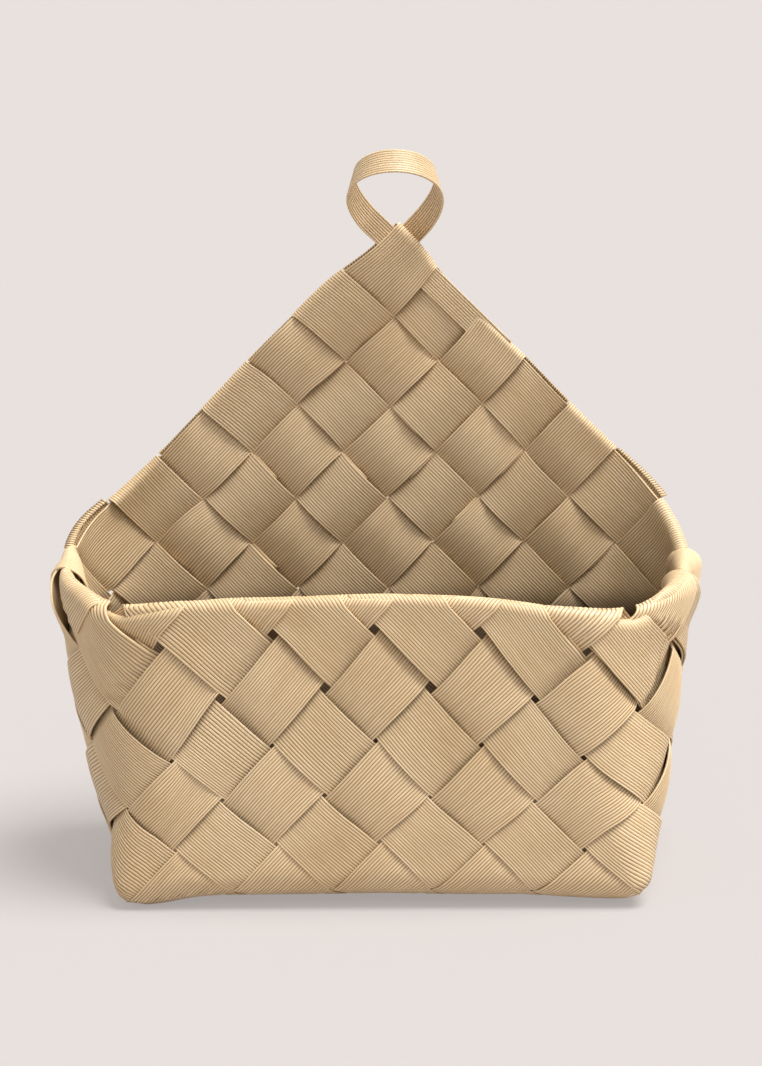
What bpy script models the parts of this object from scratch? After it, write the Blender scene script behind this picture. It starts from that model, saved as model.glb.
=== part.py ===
"""Wall basket: sixteen ribbed bands plaited on the bias, with a hanging loop at the top of the back.

The bands run at 45 degrees. They cross under the floor, rise over the walls and fold outward at
the rim, where each end is tucked down the outer face. The back wall goes on up to a peak.

The weave is drawn flat first. The unit of the flat drawing is one period, the diagonal of a
crossing. The floor is a rectangle x, y, and the walls are one strip u, v around it: u goes round
the basket from the front left corner, and v is the height. A skin function then bends the flat
drawing into the basket, and each band lies on that skin in its own layer.
"""
import math

import bmesh
import bpy
import numpy as np

MM = 0.001

# Counts of the weave, in periods
FRONT_COUNT = 5
SIDE_COUNT = 3
WALL_COUNT = 3
PEAK_HALF_COUNT = 3.5
BACK_MIDDLE = 1.5 * FRONT_COUNT + SIDE_COUNT

# Driving sizes of the bands
BAND_WIDTH = 31.0 * MM
BAND_THICKNESS = 0.8 * MM
LAYER_CLEARANCE = 0.5 * MM
LAP_SLOPE = 0.75
LOOP_BAND_WIDTH = 14.0 * MM

# Driving sizes of the body
BOTTOM_RADIUS = 13.5 * MM
FRONT_BELLY = 4.0 * MM
FRONT_CORNER_REACH = 42.0 * MM
BACK_CORNER_REACH = 30.0 * MM
CORNER_SHIFT = 6.0 * MM
CORNER_DROP = 10.0 * MM
CORNER_DROP_REACH = 38.0 * MM
SIDE_FLARE = math.radians(10.0)
TIP_OPENING = 8.0 * MM
RIM_STRETCH_SHARE = 0.03
RIM_PULL = 5.0 * MM
RIM_PULL_COUNT = 0.7
FLARE_EASE = 1.75

# Order of the layers in a crossing, from the inside out
UNDER_RANK = 0.0
HIDDEN_RANK = 1.0
OVER_RANK = 2.0
TAIL_RANK = 3.0
INNER_FOLD_RANK = 3.2
OUTER_FOLD_RANK = 3.5
RIGHT_LEG_RANKS = (1.0, -1.0, 1.0)
LEFT_LEG_RANKS = (4.0, 3.1, 1.5)

# Folds at the rim and along the peak
RIM_LAYER_CLEARANCE = 0.8 * MM
RIM_LIFT = 1.0 * MM
FOLD_CLEARANCE = 0.4 * MM
LOOSE_FOLD_RADIUS = 1.0 * MM
ROLL_STEPS = 3

# Hanging loop, bent from one straight band on a cone whose tip is up
LOOP_REACH = 87.0 * MM
LOOP_CROSS_ANGLE = math.radians(45.0)
LOOP_SIDE_SHARE = 0.25
LOOP_STEPS = 28
LOOP_EASE = 14.0 * MM

# Sizes worked out from the driving ones
LAYER = BAND_THICKNESS + LAYER_CLEARANCE
RIM_LAYER = BAND_THICKNESS + RIM_LAYER_CLEARANCE
LAP_LAYERS = 2
PITCH = BAND_WIDTH + LAP_LAYERS * LAYER / LAP_SLOPE
PERIOD = PITCH * math.sqrt(2.0)
GIRTH = 2 * (FRONT_COUNT + SIDE_COUNT)
EDGE = BAND_WIDTH / PITCH / 2
TINY = 1e-4
MITRE_EASE = 0.1
FAN = EDGE * np.array([
    [1, 0], [0.5, 0.5], [0, 1], [-0.5, 0.5], [-1, 0], [-0.5, -0.5], [0, -1], [0.5, -0.5]])
FLAT_ENOUGH = LAYER_CLEARANCE / 20

BAND_COLOUR = (0.58, 0.42, 0.22, 1.0)
BAND_ROUGHNESS = 0.62


def clip01(value):
    return np.clip(value, 0.0, 1.0)


def smooth_step(value):
    value = clip01(value)
    return value * value * (3 - 2 * value)


# Skin of the basket

def bottom_bend(distance):
    """Reach outward and height of the skin, at a distance from the floor's edge, outside positive."""
    radius = BOTTOM_RADIUS / PERIOD
    half = radius * math.pi / 4
    angle = np.clip((distance + half) / radius, 0.0, math.pi / 2)
    beyond = np.maximum(distance - half, 0.0)
    inside = np.minimum(distance + half, 0.0)
    return inside - half + radius * np.sin(angle), radius * (1 - np.cos(angle)) + beyond


def section(around, share):
    """Half a level section of the walls, as x, y and heading at a distance from its front middle.

    It is straight, arc, straight, arc, straight. The arcs open from nothing at the floor to their
    full reach at the rim, and the far corner is placed so that the half section closes.
    """
    flare = SIDE_FLARE * share
    first = np.maximum(FRONT_CORNER_REACH / PERIOD * share, TINY)
    second = np.maximum(BACK_CORNER_REACH / PERIOD * share, TINY)
    turn_a = math.pi / 2 - flare
    turn_b = math.pi / 2 + flare
    radius_a = 2 * first / turn_a
    radius_b = 2 * second / turn_b
    corner_a = FRONT_COUNT / 2 + CORNER_SHIFT / PERIOD * share
    lean, cross = np.sin(flare), np.cos(flare)
    corner_b = (GIRTH / 2 - corner_a + first - radius_a * cross + radius_b * cross - second
                + lean * (corner_a + first + second)) / (1 + lean)
    front = np.clip(around, 0.0, corner_a - first)
    angle_a = turn_a * clip01((around - corner_a + first) / (2 * first))
    side = np.clip(around - corner_a - first, 0.0, corner_b - second - corner_a - first)
    angle_b = turn_b * clip01((around - corner_b + second) / (2 * second))
    back = np.maximum(around - corner_b - second, 0.0)
    heading = angle_a + angle_b
    x = front + radius_a * np.sin(angle_a) + side * lean - back
    x = x + radius_b * (np.sin(turn_a + angle_b) - cross)
    y = radius_a * (1 - np.cos(angle_a)) + side * cross
    y = y + radius_b * (np.cos(turn_a) - np.cos(turn_a + angle_b))
    depth = (radius_a * (1 - np.cos(turn_a)) + (corner_b - second - corner_a - first) * cross
             + radius_b * (np.cos(turn_a) + 1))
    return x, y - depth, heading, corner_a


def wall(u, v):
    """Skin of the walls: u periods round from the front left corner and v periods up."""
    sideways = (u - FRONT_COUNT / 2 + GIRTH / 2) % GIRTH - GIRTH / 2
    around = np.abs(sideways)
    level = clip01(v / WALL_COUNT)
    share = 1 - (1 - level) ** FLARE_EASE
    x, y, heading, corner = section(around, share)
    stretch = 1 + RIM_STRETCH_SHARE * level
    reach, height = bottom_bend(v)
    facing_front = clip01(np.cos(heading / 2)) ** 2
    reach = reach + FRONT_BELLY / PERIOD * np.sin(math.pi * level) * facing_front
    x = x * stretch + reach * np.sin(heading)
    y = SIDE_COUNT + y * stretch - reach * np.cos(heading)
    drop_reach = CORNER_DROP_REACH / PERIOD
    drop = CORNER_DROP / PERIOD * np.sin(math.pi / 2 * level)
    height = height * stretch - drop * np.exp(-((around - corner) / drop_reach) ** 2)
    pull = smooth_step((v - WALL_COUNT) / RIM_PULL_COUNT + 1) * facing_front
    height = height - RIM_PULL / PERIOD * pull
    return np.stack([x * np.where(sideways < 0, -1.0, 1.0), y, height], axis=-1) * PERIOD


def floor(x, y):
    """Skin of the floor: x periods from its left edge and y periods from its front edge."""
    inset = bottom_bend(0.0)[0]
    edge_height = bottom_bend(0.0)[1]
    rise_x = bottom_bend(-np.minimum(x, FRONT_COUNT - x))[1]
    rise_y = bottom_bend(-np.minimum(y, SIDE_COUNT - y))[1]
    height = np.sqrt(np.maximum(rise_x ** 2 + rise_y ** 2 - (rise_x * rise_y / edge_height) ** 2, 0.0))
    wide = (x - FRONT_COUNT / 2) * (1 + 2 * inset / FRONT_COUNT)
    deep = SIDE_COUNT / 2 + (y - SIDE_COUNT / 2) * (1 + 2 * inset / SIDE_COUNT)
    return np.stack([wide, deep, height], axis=-1) * PERIOD


def floor_to_wall(x, y):
    """Wall coordinates of a floor point at or past the nearest edge."""
    gaps = np.stack([y, FRONT_COUNT - x, SIDE_COUNT - y, x], axis=-1)
    nearest = np.argmin(gaps, axis=-1)
    u = np.choose(nearest, [x, FRONT_COUNT + y, 2 * FRONT_COUNT + SIDE_COUNT - x, GIRTH - y])
    return u, -np.min(gaps, axis=-1)


def wall_to_floor(u, v):
    """Floor coordinates of a wall point at or below the floor's edge."""
    u = u % GIRTH
    corner_b, corner_c = FRONT_COUNT + SIDE_COUNT, 2 * FRONT_COUNT + SIDE_COUNT
    side = (u >= FRONT_COUNT) * 1 + (u >= corner_b) * 1 + (u >= corner_c) * 1
    x = np.choose(side, [u, FRONT_COUNT + v, corner_c - u, -v])
    y = np.choose(side, [-v, u - FRONT_COUNT, SIDE_COUNT + v, GIRTH - u])
    return x, y


def place(on_wall, first, second):
    """Point of the skin at wall or floor coordinates, either of which may run past the floor's edge."""
    over_u, over_v = floor_to_wall(first, second)
    under_x, under_y = wall_to_floor(first, second)
    u, v = np.where(on_wall, first, over_u), np.where(on_wall, second, over_v)
    x, y = np.where(on_wall, under_x, first), np.where(on_wall, under_y, second)
    return np.where(v[:, None] < 0, floor(x, y), wall(u, np.maximum(v, 0.0)))


def open_tips(u, v):
    """Heights of wall places, with the foot of each corner crossing drawn up to leave its tip open."""
    corners = np.array([0, FRONT_COUNT, FRONT_COUNT + SIDE_COUNT, 2 * FRONT_COUNT + SIDE_COUNT, GIRTH])
    off_corner = np.abs(u[:, None] % GIRTH - corners).min(axis=1)
    return np.where((off_corner < TINY) & (v > TINY), np.maximum(v, TIP_OPENING / PERIOD), v)


def way_outward(cells, half, on_wall, first, second):
    """Way outward at places in crossings, long enough to keep layers of flat faces a unit apart.

    A crossing is a diamond of eight triangles around its middle, and only the triangles that meet
    at the place count. At the rim they are the lower four.
    """
    cell_wall, cell_first, cell_second = cells[:, 0] > 0, cells[:, 1], cells[:, 2]
    centre = place(cell_wall, cell_first, cell_second)
    spokes = [place(cell_wall, cell_first + p, cell_second + q) - centre for p, q in FAN]
    faces = [np.cross(one, two) for one, two in zip(spokes, spokes[1:] + spokes[:1])]
    normals = np.stack(faces, axis=1) * np.where(cell_wall, 1, -1)[:, None, None]
    normals = normals / np.linalg.norm(normals, axis=2, keepdims=True)
    over_u, over_v = floor_to_wall(first, second)
    lifted = cell_wall & ~on_wall
    away_first = np.where(lifted, over_u, first) - cell_first
    away_second = np.where(lifted, over_v, second) - cell_second
    away_first = np.where(cell_wall, (away_first + GIRTH / 2) % GIRTH - GIRTH / 2, away_first)
    spots = np.concatenate([FAN, [[0.0, 0.0]]])
    gaps = np.hypot(away_first[:, None] - spots[:, 0], away_second[:, None] - spots[:, 1])
    beside = np.eye(len(FAN)) + np.roll(np.eye(len(FAN)), -1, axis=1)
    meeting = np.concatenate([beside, np.ones((1, len(FAN)))])
    weights = meeting[np.argmin(gaps, axis=1)]
    lower = np.arange(len(FAN)) >= len(FAN) // 2
    weights = np.where(half[:, None], weights * lower, weights)
    mean = np.einsum("nk,nki->ni", weights, normals)
    mean = mean / np.linalg.norm(mean, axis=1, keepdims=True)
    matrix = np.einsum("nk,nki,nkj->nij", weights, normals, normals) + MITRE_EASE * np.eye(3)
    vector = np.einsum("nk,nki->ni", weights, normals) + MITRE_EASE * mean
    return np.linalg.solve(matrix, vector[..., None])[..., 0]


# Lanes of the flat drawing

class Lane:
    """A straight way across the floor and up two walls, counted in pitches along and across it.

    Every whole number along it is the middle of a crossing. A rising lane keeps x - y the same,
    and a falling lane keeps x + y the same.
    """

    def __init__(self, rising, offset):
        self.rising, self.offset = rising, offset

    def spot(self, along, across):
        """On a wall or not, and the coordinates there."""
        lean = 1 if self.rising else -1
        x = along / 2 + across / 2 + np.zeros(3)
        y = lean * along / 2 - lean * across / 2 + (-self.offset if self.rising else self.offset)
        y = y + np.zeros(3)
        middle = x[1], y[1]
        exits = {
            "front": -middle[1], "right": middle[0] - FRONT_COUNT,
            "back": middle[1] - SIDE_COUNT, "left": -middle[0],
        }
        side = max(exits, key=exits.get)
        u, v = {
            "front": (x, -y), "right": (FRONT_COUNT + y, x - FRONT_COUNT),
            "back": (2 * FRONT_COUNT + SIDE_COUNT - x, y - SIDE_COUNT), "left": (GIRTH - y, -x),
        }[side]
        on_wall = v >= -TINY
        return on_wall, np.where(on_wall, u, x), np.where(on_wall, v, y)

    def middle(self, step):
        on_wall, p, q = self.spot(float(step), np.zeros(3))
        return bool(on_wall[1]), float(p[1]), float(q[1])

    def over(self, step):
        """Whether this lane's band lies outside the crossing one."""
        return step % 2 == (0 if self.rising else 1)

    def key(self, step):
        on_wall, p, q = self.middle(step)
        return cell_key(on_wall, p, q)


def cell_key(on_wall, p, q):
    if on_wall:
        return "wall", round(2 * p) % (2 * GIRTH), round(2 * q)
    return "floor", round(2 * p), round(2 * q)


def inside(lane, step):
    """Whether a crossing is within the basket, its rim crossings among them."""
    on_wall, u, v = lane.middle(step)
    if not on_wall:
        return True
    return v <= WALL_COUNT + TINY or peak_room(u, v) > 0


def peak_room(u, v):
    from_middle = abs((u - BACK_MIDDLE + GIRTH / 2) % GIRTH - GIRTH / 2)
    return PEAK_HALF_COUNT - from_middle - (v - WALL_COUNT)


def at_rim(lane, step):
    on_wall, u, v = lane.middle(step)
    return on_wall and abs(v - WALL_COUNT) < TINY and peak_room(u, v) < 0


# One band's way: its run over the basket and the tail that each end is folded into

def ends_of(lane):
    """First and last crossing of a lane, found outward from the middle of its run on the floor."""
    if lane.rising:
        left, right = max(0.0, lane.offset), min(FRONT_COUNT, SIDE_COUNT + lane.offset)
    else:
        left, right = max(0.0, lane.offset - SIDE_COUNT), min(FRONT_COUNT, lane.offset)
    low = high = round(left + right)
    while inside(lane, low - 1) and not at_rim(lane, low):
        low -= 1
    while inside(lane, high + 1) and not at_rim(lane, high):
        high += 1
    return low, high


def tail_length(lane, end, outward):
    """Crossings that a tail covers past its fold, the last one only to its middle."""
    if not at_rim(lane, end):
        return 1 if lane.over(end) else 2
    before = lane.middle(end - outward)[1]
    here = lane.middle(end)[1]
    climbing = ((here - before + GIRTH / 2) % GIRTH - GIRTH / 2) > 0
    return 2 if climbing else 1


def tail_key(lane, end, outward, count):
    """Crossing that a tail lies in, counted from its fold."""
    if not at_rim(lane, end):
        return lane.key(end - outward * count)
    _, here, _ = lane.middle(end)
    _, before, _ = lane.middle(end - outward)
    lean = (here - before + GIRTH / 2) % GIRTH - GIRTH / 2
    return cell_key(True, here + lean * count, WALL_COUNT - count / 2)


class Layers:
    """Who lies in each crossing, from the inside of the basket to the outside."""

    def __init__(self):
        self.cells, self.rims = {}, set()

    def add(self, key, who, rank):
        self.cells.setdefault(key, []).append((rank, who))

    def height(self, key, who):
        """Distance outward from the skin to the middle of a band's thickness."""
        order = [name for _, name in sorted(self.cells[key])]
        spacing = RIM_LAYER if key in self.rims else LAYER
        return (order.index(who) - (len(order) - 1) / 2) * spacing


def fill_layers(lanes):
    layers = Layers()
    for name, lane in lanes.items():
        low, high = ends_of(lane)
        for step in range(low, high + 1):
            layers.add(lane.key(step), (name, "run"), OVER_RANK if lane.over(step) else UNDER_RANK)
        for end, outward in ((low, -1), (high, 1)):
            who = name, "tail", outward
            rim = at_rim(lane, end)
            if rim:
                layers.rims.add(lane.key(end))
            outermost = lane.over(end) != rim
            layers.add(lane.key(end), who, OUTER_FOLD_RANK if outermost else INNER_FOLD_RANK)
            length = tail_length(lane, end, outward)
            for count in range(1, length + 1):
                hidden = count == length
                rank = HIDDEN_RANK if hidden else TAIL_RANK
                layers.add(tail_key(lane, end, outward, count), who, rank)
    return layers


def is_flat(key):
    """Whether the skin under a crossing is a plane, so that no row is needed along its middle."""
    on_wall, p, q = key[0] == "wall", key[1] / 2, key[2] / 2
    points = place(np.full(len(FAN), on_wall), p + FAN[:, 0], q + FAN[:, 1])
    middle = place(np.array([on_wall]), np.array([p]), np.array([q]))
    normal = np.cross(points[0] - points[4], points[2] - points[6])
    off = (points - middle) @ (normal / np.linalg.norm(normal))
    return np.abs(off).max() < FLAT_ENOUGH


class Rows:
    """Rows of three points across a band, each with its crossing and its height off the skin."""

    def __init__(self):
        self.on_wall, self.first, self.second, self.heights, self.keys, self.centres = [], [], [], [], [], []

    def add(self, spot, height, key, centre=False):
        self.on_wall.append(np.broadcast_to(spot[0], 3))
        self.first.append(spot[1])
        self.second.append(spot[2])
        self.heights.append(np.full(3, height))
        self.keys.append(key)
        self.centres.append(centre)

    def lists(self):
        return self.on_wall, self.first, self.second, self.heights, self.keys, self.centres

    def backward(self):
        for values in self.lists():
            values.reverse()

    def extend(self, other):
        for values, more in zip(self.lists(), other.lists()):
            values.extend(more)

    def points(self, layers):
        on_wall, first, second, heights = (np.concatenate(values) for values in self.lists()[:4])
        cells = np.repeat([(kind == "wall", p / 2, q / 2) for kind, p, q in self.keys], 3, axis=0)
        half = np.repeat([key in layers.rims for key in self.keys], 3)
        way = way_outward(cells, half, on_wall, first, second)
        second = np.where(on_wall, open_tips(first, second), second)
        return (place(on_wall, first, second) + way * heights[:, None]).reshape(-1, 3, 3)


def cell_rows(rows, spot, key, height, start, stop):
    """Rows over one crossing, from one place along the lane to another past its middle."""
    rows.add(spot(start), height, key)
    if not is_flat(key):
        rows.add(spot((start + stop) / 2), height, key, True)
    rows.add(spot(stop), height, key)


def rim_end(lane, name, end, outward, layers, across):
    """The last crossing before the rim, the fold at 45 degrees and the tail down the outer face."""
    rows = Rows()
    key = lane.key(end)
    run = layers.height(key, (name, "run"))
    tail = layers.height(key, (name, "tail", outward))
    lift, radius = RIM_LIFT / PERIOD, (tail - run) / 2
    slant = (lane.spot(end, across)[2] - WALL_COUNT) * 2
    fold = lane.spot(end - outward * slant, across)

    def turned(along):
        on_wall, u, v = lane.spot(along, across)
        return on_wall, u, 2 * WALL_COUNT - v

    def kept_under(spot):
        above = spot[2] > WALL_COUNT + TINY
        return spot[0], np.where(above, fold[1], spot[1]), np.where(above, WALL_COUNT + lift / 2, spot[2])

    rows.add(lane.spot(end - outward * EDGE, across), run, key)
    rows.add(kept_under(lane.spot(end, across)), run, key, True)
    for angle in np.linspace(0, math.pi, ROLL_STEPS + 1):
        rise = WALL_COUNT + lift + radius / PERIOD * math.sin(angle)
        rows.add((fold[0], fold[1], np.full(3, rise)), run + radius * (1 - math.cos(angle)), key)
    rows.add(kept_under(turned(end)), tail, key, True)
    rows.add(turned(end + outward * EDGE), tail, key)
    length = tail_length(lane, end, outward)
    for count in range(1, length + 1):
        key = tail_key(lane, end, outward, count)
        height = layers.height(key, (name, "tail", outward))
        step = end + outward * count
        if count == length:
            rows.add(turned(step - outward * EDGE), height, key)
            rows.add(turned(step), height, key, True)
        else:
            cell_rows(rows, turned, key, height, step - outward * EDGE, step + outward * EDGE)
    return rows


def peak_end(lane, name, end, outward, layers, across):
    """The last crossing before the peak's edge, the square fold and the tail back down the lane."""
    rows = Rows()
    key = lane.key(end)
    run = layers.height(key, (name, "run"))
    tail = layers.height(key, (name, "tail", outward))
    radius = max((tail - run) / 2, LOOSE_FOLD_RADIUS)

    def spot(along):
        return lane.spot(along, across)

    cell_rows(rows, spot, key, run, end - outward * EDGE, end + outward * EDGE)
    for angle in np.linspace(0, math.pi, ROLL_STEPS + 1):
        reach = (FOLD_CLEARANCE + radius * math.sin(angle)) / PITCH
        rows.add(spot(end + outward * (EDGE + reach)), run + radius * (1 - math.cos(angle)), key)
    cell_rows(rows, spot, key, tail, end + outward * EDGE, end - outward * EDGE)
    length = tail_length(lane, end, outward)
    for count in range(1, length + 1):
        key = tail_key(lane, end, outward, count)
        height = layers.height(key, (name, "tail", outward))
        step = end - outward * count
        if count == length:
            rows.add(spot(step + outward * EDGE), height, key)
            rows.add(spot(step), height, key, True)
        else:
            cell_rows(rows, spot, key, height, step + outward * EDGE, step - outward * EDGE)
    return rows


def band_rows(lane, name, layers):
    across = np.array([-EDGE, 0.0, EDGE])
    low, high = ends_of(lane)
    ends = []
    for end, outward in ((low, -1), (high, 1)):
        make = rim_end if at_rim(lane, end) else peak_end
        ends.append(make(lane, name, end, outward, layers, across))
    rows = ends[0]
    rows.backward()
    for step in range(low + 1, high):
        height = layers.height(lane.key(step), (name, "run"))
        cell_rows(rows, lambda along: lane.spot(along, across), lane.key(step), height,
                  step - EDGE, step + EDGE)
    rows.extend(ends[1])
    return rows


# The hanging loop

class Leg:
    """One end of the loop: tucked along the outer half of the lane that ends at the peak's tip."""

    def __init__(self, name, lane, tip, outward, ranks):
        self.name, self.lane, self.tip, self.outward, self.ranks = name, lane, tip, outward, ranks

    def enter(self, layers):
        for count, rank in enumerate(self.ranks):
            layers.add(self.lane.key(self.tip - self.outward * count), ("loop", self.name), rank)

    def stations(self, layers):
        """Pairs of distance past the crossing point and height, from the peak down to the tip."""
        cross_along = LOOP_SIDE_SHARE
        result = []
        for count in range(len(self.ranks)):
            height = layers.height(self.lane.key(self.tip - self.outward * count), ("loop", self.name))
            result.append(((cross_along + count - EDGE), height))
            last = count == len(self.ranks) - 1
            result.append(((cross_along + count + (0 if last else EDGE)), height))
        return result


def cone_spot(along, sideways):
    """Place on the loop's cone, from its tip, of a point of the straight band unrolled.

    A point is along the band from its middle and sideways away from the tip. Past the line where
    the two legs cross, the band has left the cone and lies in the plane of the back.
    """
    ratio = LOOP_CROSS_ANGLE / math.pi
    half_angle = math.asin(ratio)
    distance = np.hypot(along, LOOP_REACH + sideways)
    angle = np.arctan2(along, LOOP_REACH + sideways)
    round_axis = np.clip(angle / ratio, -math.pi, math.pi)
    past = np.sign(angle) * np.maximum(np.abs(angle) - LOOP_CROSS_ANGLE, 0.0)
    lean, rise = math.sin(half_angle), math.cos(half_angle)
    x = lean * np.sin(round_axis) - np.sin(past)
    y = -rise * lean - lean * rise * np.cos(round_axis)
    z = -rise * rise + lean * lean * np.cos(round_axis)
    flat = np.abs(angle) > LOOP_CROSS_ANGLE
    y = np.where(flat, 0.0, y)
    z = np.where(flat, -np.cos(past), z)
    return np.stack([x, y, z], axis=-1) * distance[..., None]


def loop_points(legs, layers):
    stretch = 1 + RIM_STRETCH_SHARE
    cross_v = WALL_COUNT + PEAK_HALF_COUNT - LOOP_SIDE_SHARE
    crossing = place(np.array([True]), np.array([BACK_MIDDLE]), np.array([cross_v]))
    tip = crossing[0] + np.array([0.0, 0.0, LOOP_REACH / math.cos(LOOP_CROSS_ANGLE)])
    cross_along = LOOP_REACH * math.tan(LOOP_CROSS_ANGLE)
    near = legs[0].stations(layers)
    far = legs[1].stations(layers)
    clear = FOLD_CLEARANCE + LAP_LAYERS * LAYER + BAND_THICKNESS
    start = near[0][0] * PITCH * stretch
    leave = [cross_along + start, cross_along + far[0][0] * PITCH * stretch - clear]
    along = [-(cross_along + distance * PITCH * stretch) for distance, _ in reversed(near)]
    height = [value for _, value in reversed(near)]
    free = np.linspace(-leave[0], leave[1], LOOP_STEPS + 2)[1:]
    share = smooth_step((free + leave[0]) / (leave[0] + leave[1]))
    along += list(free)
    height += list(near[0][1] + (far[0][1] - near[0][1]) * share)
    along += [cross_along + distance * PITCH * stretch for distance, _ in far]
    height += [value for _, value in far]
    along, height = np.array(along)[:, None], np.array(height)[:, None]
    sideways = np.array([-LOOP_BAND_WIDTH / 2, 0.0, LOOP_BAND_WIDTH / 2])[None, :]
    points = cone_spot(along + 0 * sideways, sideways + 0 * along)
    room = np.where(along < 0, leave[0] + along, leave[1] - along)
    ease = smooth_step(room / LOOP_EASE) + 0 * sideways
    points[..., 1] = points[..., 1] * ease + height
    return tip + points


# Meshes

def band_mesh(name, points, centres):
    """A grid bent to rows of points. Each square is split by the line from its crossing's middle."""
    count = len(points)
    mesh = bpy.data.meshes.new(name)
    work = bmesh.new()
    bmesh.ops.create_grid(work, x_segments=count - 1, y_segments=2, size=1.0)
    order = sorted(work.verts, key=lambda vert: (round(vert.co.x, 5), round(vert.co.y, 5)))
    for vert, spot in zip(order, points.reshape(-1, 3)):
        vert.co = spot
    for row in range(count - 1):
        low_first = points[row, 1, 2] <= points[row + 1, 1, 2]
        from_first = centres[row] or (low_first and not centres[row + 1])
        near, far = (row, row + 1) if from_first else (row + 1, row)
        for side in (0, 2):
            first, second = order[near * 3 + 1], order[far * 3 + side]
            face = next(face for face in first.link_faces if face in second.link_faces)
            bmesh.utils.face_split(face, first, second)
    work.to_mesh(mesh)
    work.free()
    return mesh


def band_object(name, mesh, collection, material):
    result = bpy.data.objects.new(name, mesh)
    collection.objects.link(result)
    mesh.materials.append(material)
    solid = result.modifiers.new("thickness", "SOLIDIFY")
    solid.thickness = BAND_THICKNESS
    solid.offset = 0.0
    solid.use_even_offset = False
    solid.use_quality_normals = False
    return result


def make_material(name, colour, roughness):
    material = bpy.data.materials.new(name)
    material.use_nodes = True
    shader = material.node_tree.nodes["Principled BSDF"]
    shader.inputs["Base Color"].default_value = colour
    shader.inputs["Roughness"].default_value = roughness
    shader.inputs["Metallic"].default_value = 0.0
    return material


def main():
    for item in list(bpy.data.objects):
        bpy.data.objects.remove(item, do_unlink=True)
    collection = bpy.data.collections.new("wall_basket")
    bpy.context.scene.collection.children.link(collection)

    lanes = {}
    for number in range(FRONT_COUNT + SIDE_COUNT):
        lanes["falling_band_%d" % (number + 1)] = Lane(False, number + 0.5)
        lanes["rising_band_%d" % (number + 1)] = Lane(True, number + 0.5 - SIDE_COUNT)
    layers = fill_layers(lanes)
    right = lanes["falling_band_%d" % FRONT_COUNT]
    left = lanes["rising_band_%d" % (SIDE_COUNT + 1)]
    legs = [Leg("right", right, ends_of(right)[1], 1, RIGHT_LEG_RANKS),
            Leg("left", left, ends_of(left)[0], -1, LEFT_LEG_RANKS)]
    for leg in legs:
        leg.enter(layers)

    shapes = {}
    for name, lane in sorted(lanes.items()):
        rows = band_rows(lane, name, layers)
        shapes[name] = rows.points(layers), rows.centres
    loop = loop_points(legs, layers)
    shapes["hanging_loop"] = loop, [False] * len(loop)

    every = np.concatenate([points.reshape(-1, 3) for points, _ in shapes.values()])
    rest = LAYER / 2 + BAND_THICKNESS / 2
    middle = (every[:, 1].min() + every[:, 1].max()) / 2
    for name, (points, centres) in shapes.items():
        placed = points + np.array([0.0, -middle, rest])
        material = make_material(name, BAND_COLOUR, BAND_ROUGHNESS)
        band_object(name, band_mesh(name, placed, centres), collection, material)


main()
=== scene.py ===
"""Looks of the wall basket: ribbed bands plaited on the bias, laid on the same skin as the CAD bands."""

import math

import bpy
import numpy as np
from mathutils import Matrix


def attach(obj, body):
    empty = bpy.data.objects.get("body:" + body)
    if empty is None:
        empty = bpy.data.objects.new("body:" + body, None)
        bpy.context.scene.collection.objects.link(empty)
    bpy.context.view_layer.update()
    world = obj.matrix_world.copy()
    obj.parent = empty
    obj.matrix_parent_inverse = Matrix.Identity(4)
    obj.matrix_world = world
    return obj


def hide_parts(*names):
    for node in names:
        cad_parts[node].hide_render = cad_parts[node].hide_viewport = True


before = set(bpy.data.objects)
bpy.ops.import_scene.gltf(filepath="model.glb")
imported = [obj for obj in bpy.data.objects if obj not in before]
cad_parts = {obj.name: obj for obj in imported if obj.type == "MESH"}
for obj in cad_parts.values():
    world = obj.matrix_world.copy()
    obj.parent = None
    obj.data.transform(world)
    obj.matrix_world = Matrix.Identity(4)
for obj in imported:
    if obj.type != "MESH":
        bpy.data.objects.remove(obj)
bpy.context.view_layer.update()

MM = 0.001

# Counts of the weave, in periods
FRONT_COUNT = 5
SIDE_COUNT = 3
WALL_COUNT = 3
PEAK_HALF_COUNT = 3.5
GIRTH = 2 * (FRONT_COUNT + SIDE_COUNT)
FRONT_MIDDLE = FRONT_COUNT / 2
BACK_MIDDLE = FRONT_COUNT * 1.5 + SIDE_COUNT

# The CAD's driving sizes of the weave, which set its pitch along a band and its period along a wall
CAD_BAND_WIDTH = 31.0 * MM
CAD_LAYER = 1.3 * MM
LAP_SLOPE = 0.75
PITCH = CAD_BAND_WIDTH + 2 * CAD_LAYER / LAP_SLOPE
PERIOD = PITCH * math.sqrt(2.0)

# The CAD's skin
BOTTOM_RADIUS = 13.5 * MM
FRONT_BELLY = 4.0 * MM
FRONT_CORNER_REACH = 42.0 * MM
BACK_CORNER_REACH = 30.0 * MM
CORNER_SHIFT = 6.0 * MM
CORNER_DROP = 10.0 * MM
CORNER_DROP_REACH = 38.0 * MM
SIDE_FLARE = math.radians(10.0)
FLARE_EASE = 1.75
RIM_STRETCH_SHARE = 0.03
WAY_STEP_COUNT = 0.06
TINY = 1e-4

# Where the skin stands in the frame
CAD_MIDDLE = 73.52 * MM
SKIN_LIFT = 5.4 * MM
SHIFT = np.array([0.0, -CAD_MIDDLE, SKIN_LIFT])

# Camera
CAMERA_PLACE = np.array([0.0458, -0.9110, 0.2934 + SKIN_LIFT])
CAMERA_YAW = math.radians(2.863)
CAMERA_PITCH = math.radians(7.767)
CAMERA_ROLL = math.radians(-1.209)
CAMERA_FAR = 100.0
FOCAL_PIXELS = 1793.0
IMAGE_WIDTH = 762.0
IMAGE_HEIGHT = 1066.0
SENSOR = 36.0

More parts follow.
